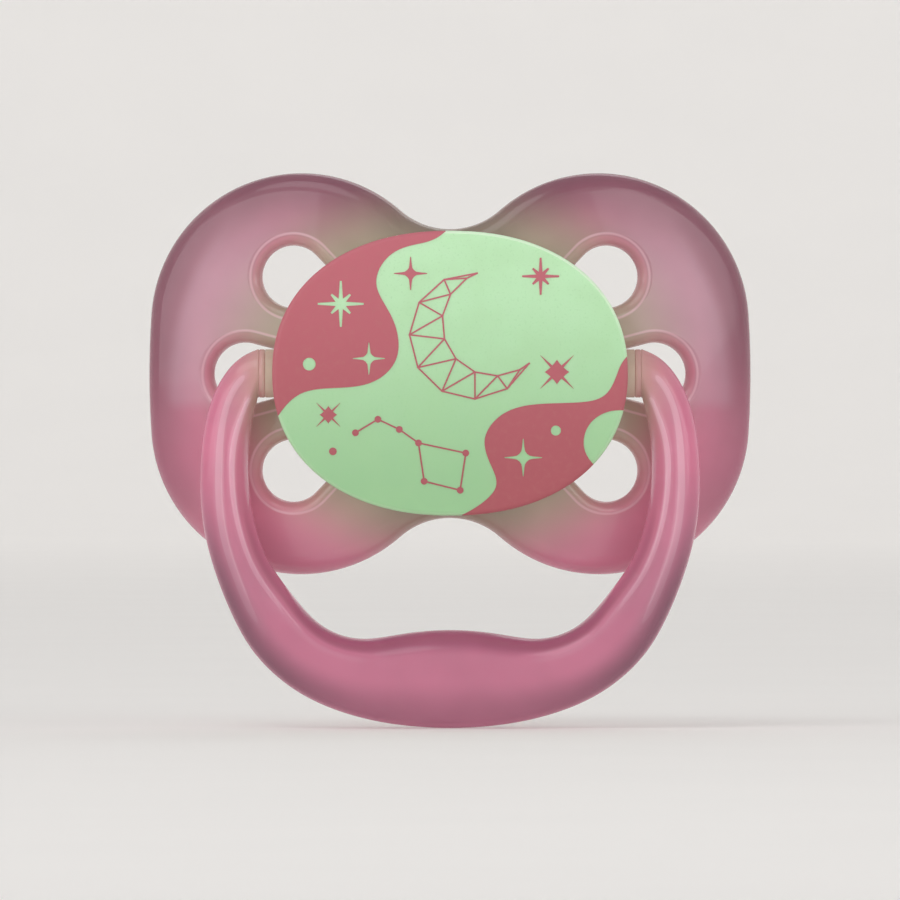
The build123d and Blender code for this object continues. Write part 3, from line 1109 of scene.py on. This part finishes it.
def build_stage():
    """A pale floor that curves up into a wall all round, well outside every camera."""
    flat, bend, steps = 2.2, 0.8, 16
    profile = [(0.3, 0.0), (flat, 0.0)]
    for step in range(1, steps + 1):
        turn = math.pi / 2 * step / steps
        profile.append((flat + bend * math.sin(turn), bend * (1 - math.cos(turn))))
    profile.append((flat + bend, 2.4))
    count = 96
    points = []
    for radius, height in profile:
        for i in range(count):
            turn = 2 * math.pi * i / count
            points.append((radius * math.cos(turn), radius * math.sin(turn), height))
    points.append((0, 0, 0))
    faces = ring_faces(len(profile), count, close_start=True)
    mesh = bpy.data.meshes.new("floor")
    mesh.from_pydata(points, [], faces)
    mesh.shade_smooth()
    mesh.materials.append(matt("pale_floor", srgb(232, 230, 228), 0.2))
    floor = bpy.data.objects.new("floor", mesh)
    bpy.context.scene.collection.objects.link(floor)
    floor.location.z = cad_bounds[0].z - 0.02 * MM


def wide_sun(name, towards, power, spread):
    """A sun in this direction, this many degrees across, for soft shadows and reflections."""
    light = bpy.data.lights.new(name, "SUN")
    light.energy = power
    light.angle = math.radians(spread)
    lamp = bpy.data.objects.new(name, light)
    bpy.context.scene.collection.objects.link(lamp)
    lamp.rotation_euler = (-Vector(towards)).to_track_quat("-Z", "Y").to_euler()


def softbox(name, towards, width, height, power, roll):
    """A lit panel at this place, in metres, that faces the object and is rolled by some degrees.
    The camera can't see it."""
    light = bpy.data.lights.new(name, "AREA")
    light.shape = "RECTANGLE"
    light.size = width
    light.size_y = height
    light.energy = power
    lamp = bpy.data.objects.new(name, light)
    bpy.context.scene.collection.objects.link(lamp)
    lamp.location = towards
    facing = (-Vector(towards)).to_track_quat("-Z", "Y")
    lamp.rotation_euler = (facing @ Quaternion((0, 0, 1), math.radians(roll))).to_euler()
    lamp.visible_camera = False


def build_light():
    """An even sky, wide suns in front, above and behind, and two panels for side reflections."""
    world = bpy.data.worlds.new("soft_sky")
    world.use_nodes = True
    world.node_tree.nodes["Background"].inputs["Color"].default_value = (1, 1, 1, 1)
    world.node_tree.nodes["Background"].inputs["Strength"].default_value = 0.38
    bpy.context.scene.world = world
    wide_sun("front_sun", (0.08, -1.0, 0.16), 1.1, 44)
    wide_sun("upper_sun", (-0.5, -0.7, 1.1), 0.5, 40)
    wide_sun("back_sun", (0.3, 1.0, 0.5), 0.7, 50)
    softbox("left_panel", (-0.46, -0.38, 0.13), 0.44, 0.28, 0.5, 0)
    softbox("right_panel", (0.44, -0.40, 0.17), 0.24, 0.40, 0.46, 28)


def build_camera():
    """A long lens straight in front of the button, so that depth hardly changes the scale."""
    lens, reach = 500.0, 1.11
    camera = bpy.data.cameras.new("camera")
    camera.lens = lens
    camera.clip_start = 0.01
    eye = bpy.data.objects.new("camera", camera)
    bpy.context.scene.collection.objects.link(eye)
    middle_z = (cad_bounds[0].z + cad_bounds[1].z) / 2
    eye.location = (0, -reach, middle_z)
    eye.rotation_euler = (math.pi / 2, 0, 0)
    bpy.context.scene.camera = eye


build_stage()
build_light()
build_camera()
bpy.context.scene.view_settings.view_transform = "Standard"
